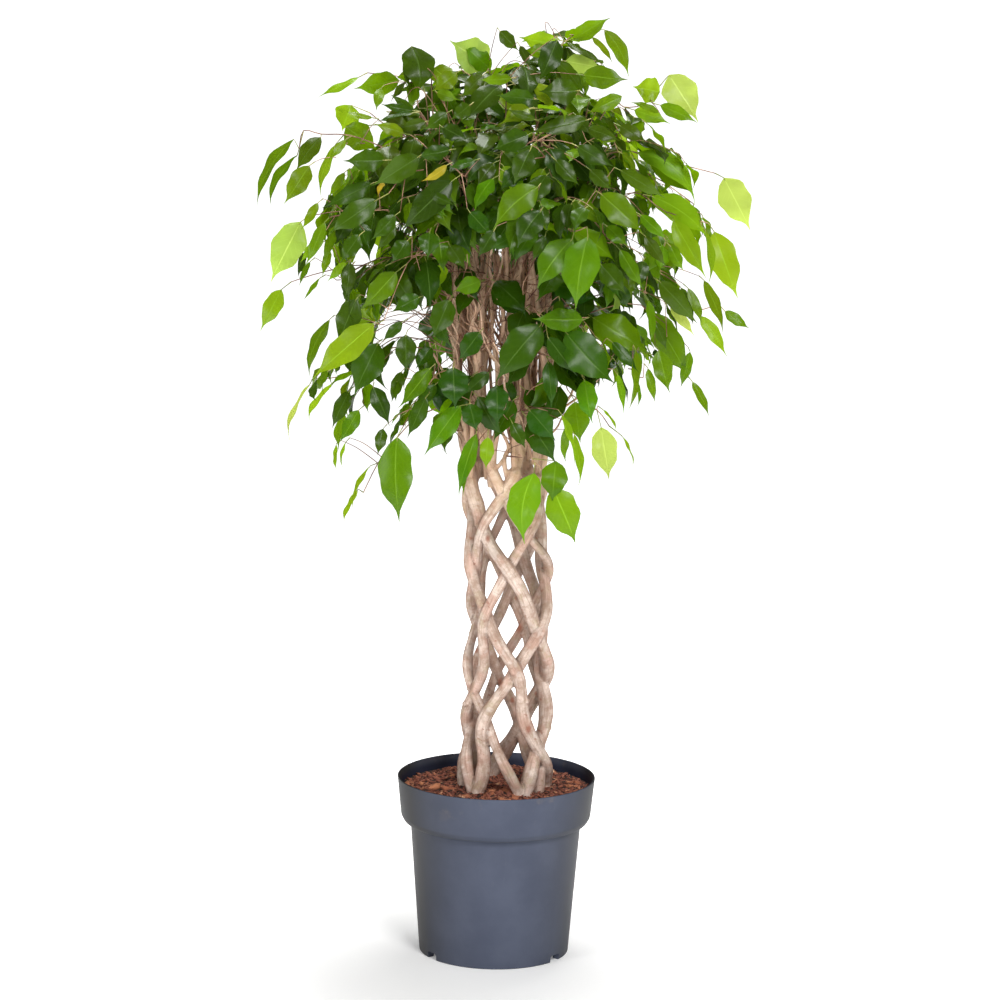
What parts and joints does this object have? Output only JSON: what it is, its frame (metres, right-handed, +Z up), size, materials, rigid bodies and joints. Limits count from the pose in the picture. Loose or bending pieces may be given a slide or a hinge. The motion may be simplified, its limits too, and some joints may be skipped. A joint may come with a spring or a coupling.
{
  "type": "potted weeping fig with a woven trunk",
  "caption": "Weeping fig with a woven lattice trunk, upright branches and drooping leafy sprays, growing in bark soil in a plain dark grey nursery pot.",
  "frame": {"origin": "middle of the pot's underside, on the level that it stands on", "axes": "+Z up along the trunk; -Y towards the side that the picture shows; +X to the picture's right"},
  "size_m": [0.6714, 0.5789, 1.2789],
  "materials": {
    "pot": "satin",
    "soil": "matte",
    "bark": "matte",
    "leaf": "satin"
  },
  "bodies": {
    "root": {"pot": "pot", "soil": "soil", "spray_crest_1": "leaf", "spray_crest_2": "leaf", "spray_crest_3": "leaf", "spray_crest_4": "leaf", "spray_crest_5": "leaf", "spray_front_centre": "leaf", "spray_front_drop": "leaf", "spray_front_left_low": "leaf", "spray_front_left_top": "leaf", "spray_front_low": "leaf", "spray_front_middle": "leaf", "spray_front_right": "leaf", "spray_left_bright": "leaf", "spray_left_brow": "leaf", "spray_left_crest": "leaf", "spray_left_edge": "leaf", "spray_left_fall": "leaf", "spray_left_light": "leaf", "spray_left_tail": "leaf", "spray_lower_1": "leaf", "spray_lower_2": "leaf", "spray_lower_3": "leaf", "spray_lower_4": "leaf", "spray_lower_5": "leaf", "spray_middle_1": "leaf", "spray_middle_2": "leaf", "spray_middle_3": "leaf", "spray_middle_4": "leaf", "spray_middle_5": "leaf", "spray_middle_6": "leaf", "spray_middle_left": "leaf", "spray_right_crest": "leaf", "spray_right_edge": "leaf", "spray_right_fall": "leaf", "spray_right_hang": "leaf", "spray_right_reach": "leaf", "spray_right_shoulder": "leaf", "spray_right_top": "leaf", "spray_shoulder_1": "leaf", "spray_shoulder_2": "leaf", "spray_shoulder_3": "leaf", "spray_shoulder_4": "leaf", "spray_shoulder_5": "leaf", "spray_shoulder_6": "leaf", "spray_shoulder_7": "leaf", "spray_top_crest": "leaf", "spray_top_left_brow": "leaf", "spray_top_left_reach": "leaf", "spray_upper_1": "leaf", "spray_upper_2": "leaf", "spray_upper_3": "leaf", "spray_upper_4": "leaf", "spray_upper_5": "leaf", "spray_upper_6": "leaf", "spray_upper_7": "leaf", "woven_trunk": "bark"}
  },
  "joints": []
}
